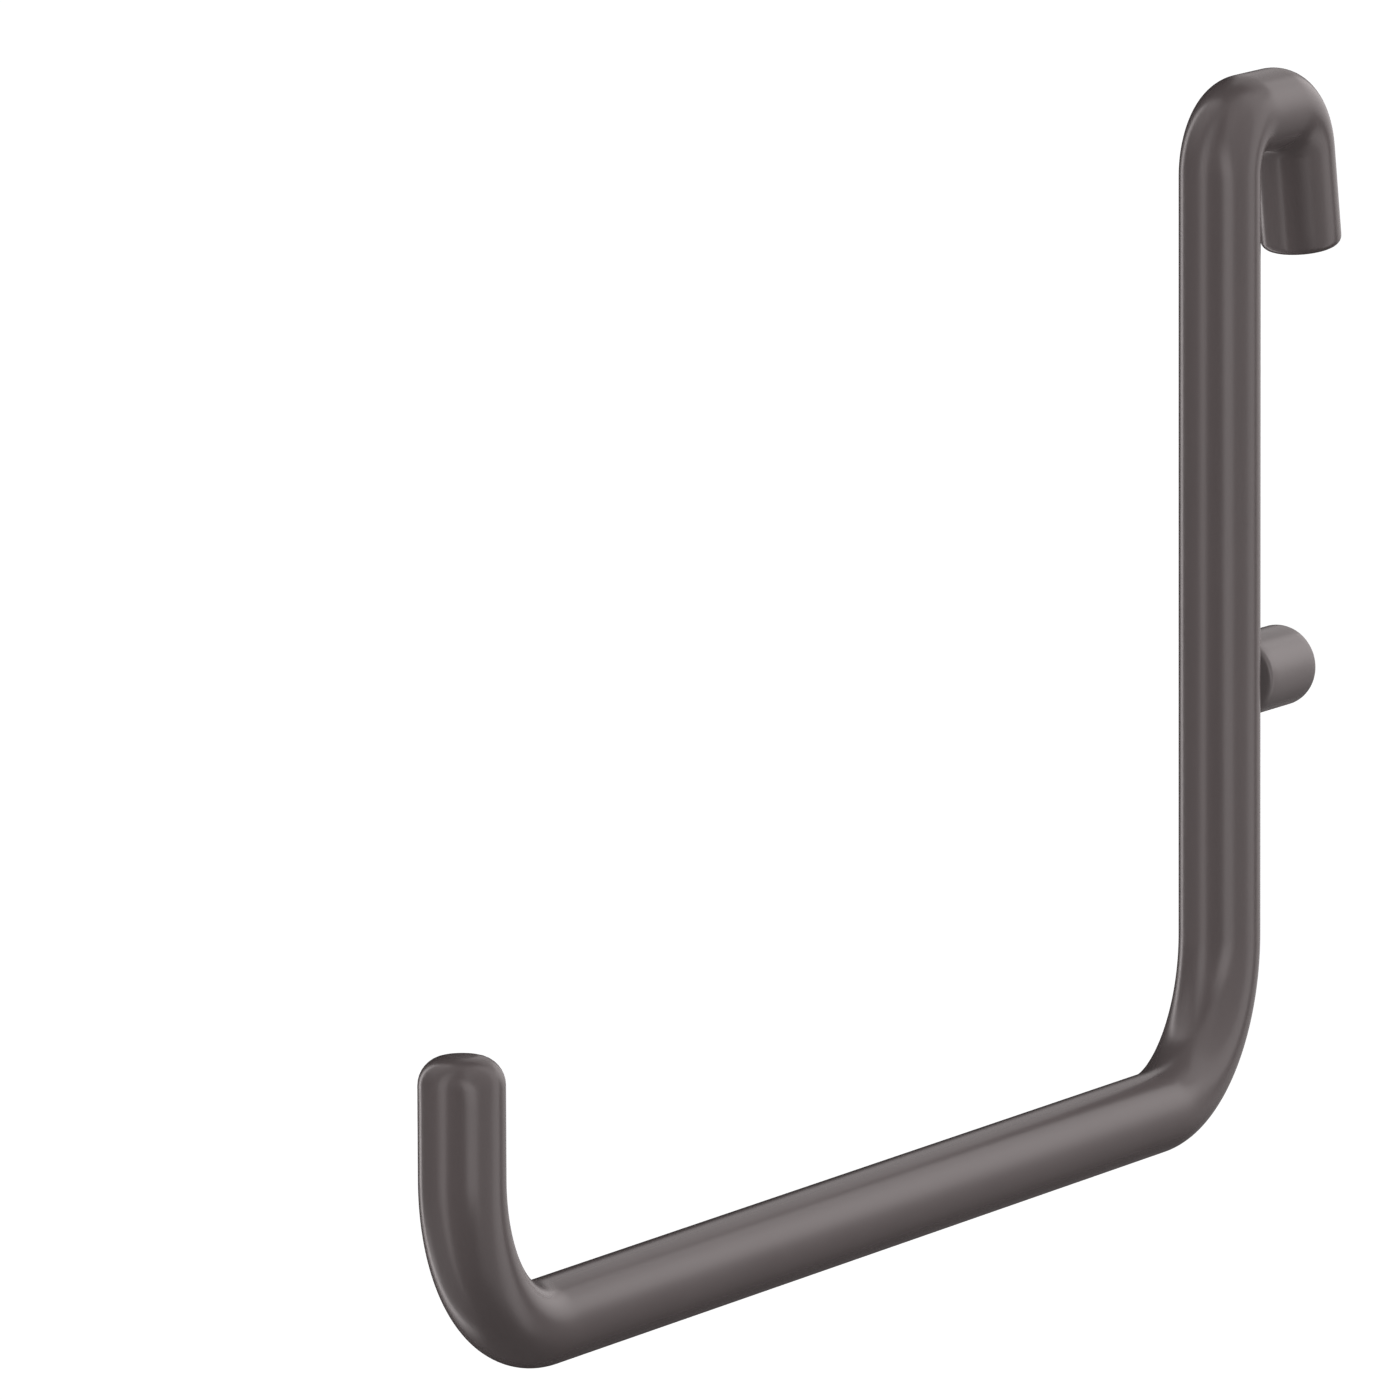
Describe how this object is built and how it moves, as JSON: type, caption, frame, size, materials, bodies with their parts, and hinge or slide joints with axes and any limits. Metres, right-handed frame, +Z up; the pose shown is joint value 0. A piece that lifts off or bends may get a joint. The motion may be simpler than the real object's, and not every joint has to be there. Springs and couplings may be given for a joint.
{
  "type": "pegboard hook",
  "caption": "Straight pegboard hook bent from round coated steel rod, with a turned-up tip, a crown that hooks over a slot's edge and a short peg for the slot below.",
  "frame": {"origin": "on the board's front face, at the lower edge of the upper slot, where the crown rests, in the plane of the rod", "axes": "+Y through the board away from the arm, +Z up, X across the plane that the rod is bent in"},
  "size_m": [0.005, 0.1166, 0.0647],
  "materials": {
    "dark_coat": "satin"
  },
  "bodies": {
    "root": {"bent_rod": "dark_coat", "board_peg": "dark_coat"}
  },
  "joints": []
}
